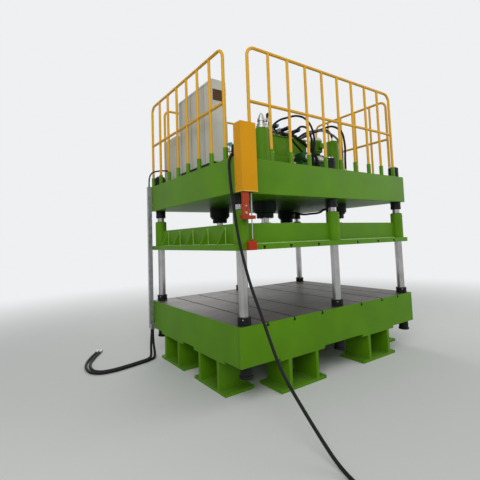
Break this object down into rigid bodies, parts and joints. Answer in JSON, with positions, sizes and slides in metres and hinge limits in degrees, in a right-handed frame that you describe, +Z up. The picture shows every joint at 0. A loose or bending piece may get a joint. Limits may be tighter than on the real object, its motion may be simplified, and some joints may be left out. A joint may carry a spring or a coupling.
{
  "type": "hydraulic press",
  "caption": "Column hydraulic press with a T-slotted bed and slide, a railed crown that carries cylinders, oil tank and cabinets, and a yellow side cover.",
  "frame": {"origin": "on the floor under the middle of the machine's box, without its free cable and hoses", "axes": "+X along the table's long side, +Y from the operator's side to the back, +Z up"},
  "size_m": [3.5602, 4.0463, 3.2692],
  "materials": {
    "machine_green": "semi-gloss enamel",
    "dark_green": "semi-gloss enamel",
    "rail_yellow": "gloss enamel",
    "cover_yellow": "gloss enamel",
    "column_chrome": "hard chrome, ground",
    "brushed_steel": "machined",
    "black_steel": "oxide black",
    "cabinet_cream": "fine powder coat",
    "signal_red": "semi-gloss enamel",
    "bar_orange": "semi-gloss enamel",
    "cap_cyan": "moulded",
    "black_rubber": "matt"
  },
  "bodies": {
    "frame": {"bed": "machine_green", "foot_front_left": "machine_green", "foot_front_right": "machine_green", "foot_back_left": "machine_green", "foot_back_right": "machine_green", "foot_left_front": "machine_green", "foot_left_back": "machine_green", "foot_right_front": "machine_green", "foot_right_back": "machine_green", "column_front_left": "column_chrome", "column_back_left": "column_chrome", "column_front_middle": "column_chrome", "column_back_middle": "column_chrome", "column_front_right": "column_chrome", "column_back_right": "column_chrome", "crown": "machine_green", "cylinder_front_left": "black_steel", "cylinder_back_left": "black_steel", "cylinder_front_right": "black_steel", "cylinder_back_right": "black_steel", "rail_front": "rail_yellow", "rail_back": "rail_yellow", "rail_left": "rail_yellow", "rail_right": "rail_yellow", "side_cover": "cover_yellow", "terminal_box": "black_steel", "cabinet_shell": "cabinet_cream", "lower_cabinet": "cabinet_cream", "oil_tank": "machine_green", "tank_lid": "machine_green", "valve_block": "black_steel", "suction_pipe": "dark_green", "main_pump": "dark_green", "main_motor": "dark_green", "small_motor": "machine_green", "stop_valve": "brushed_steel", "front_hoses": "black_rubber", "right_hoses": "black_rubber", "crown_hose": "black_rubber", "cable_duct": "brushed_steel", "hanging_cable": "black_rubber", "cable_coil": "black_rubber", "cable_connector": "black_steel", "floor_hose_near": "black_rubber", "floor_hose_far": "black_rubber", "hose_connector_near": "brushed_steel", "hose_connector_far": "brushed_steel"},
    "slide": {"slide": "machine_green", "piston_rod_front_left": "column_chrome", "piston_rod_back_left": "column_chrome", "piston_rod_front_right": "column_chrome", "piston_rod_back_right": "column_chrome", "lock_bar": "bar_orange", "switch_block": "signal_red"},
    "cabinet_door_near": {"cabinet_door_near": "cabinet_cream"},
    "cabinet_door_far": {"cabinet_door_far": "cabinet_cream"},
    "lower_cabinet_door": {"lower_cabinet_door": "cabinet_cream"},
    "pump_coupling": {"pump_coupling": "bar_orange"},
    "stop_valve_knob": {"stop_valve_knob": "cap_cyan"}
  },
  "joints": [
    {"name": "slide_travel", "type": "slide", "parent": "frame", "child": "slide", "axis": [0, 0, 1], "range_m": [-0.58, 0.02]},
    {"name": "cabinet_door_near_hinge", "type": "hinge", "parent": "frame", "child": "cabinet_door_near", "pos_m": [-1.029, -0.391, 2.6875], "axis": [0, 0, -1], "range_deg": [0, 75]},
    {"name": "cabinet_door_far_hinge", "type": "hinge", "parent": "frame", "child": "cabinet_door_far", "pos_m": [-1.029, 0.403, 2.6875], "axis": [0, 0, 1], "range_deg": [0, 75]},
    {"name": "lower_cabinet_door_hinge", "type": "hinge", "parent": "frame", "child": "lower_cabinet_door", "pos_m": [-0.959, 0.833, 2.47], "axis": [0, 0, 1], "range_deg": [0, 100]},
    {"name": "pump_coupling_spin", "type": "hinge", "parent": "frame", "child": "pump_coupling", "pos_m": [-0.06, -0.424, 2.365], "axis": [0, 1, 0], "continuous": true},
    {"name": "stop_valve_turn", "type": "hinge", "parent": "frame", "child": "stop_valve_knob", "pos_m": [-1.084, -0.544, 2.4], "axis": [0, 0, 1], "range_deg": [0, 90]}
  ]
}
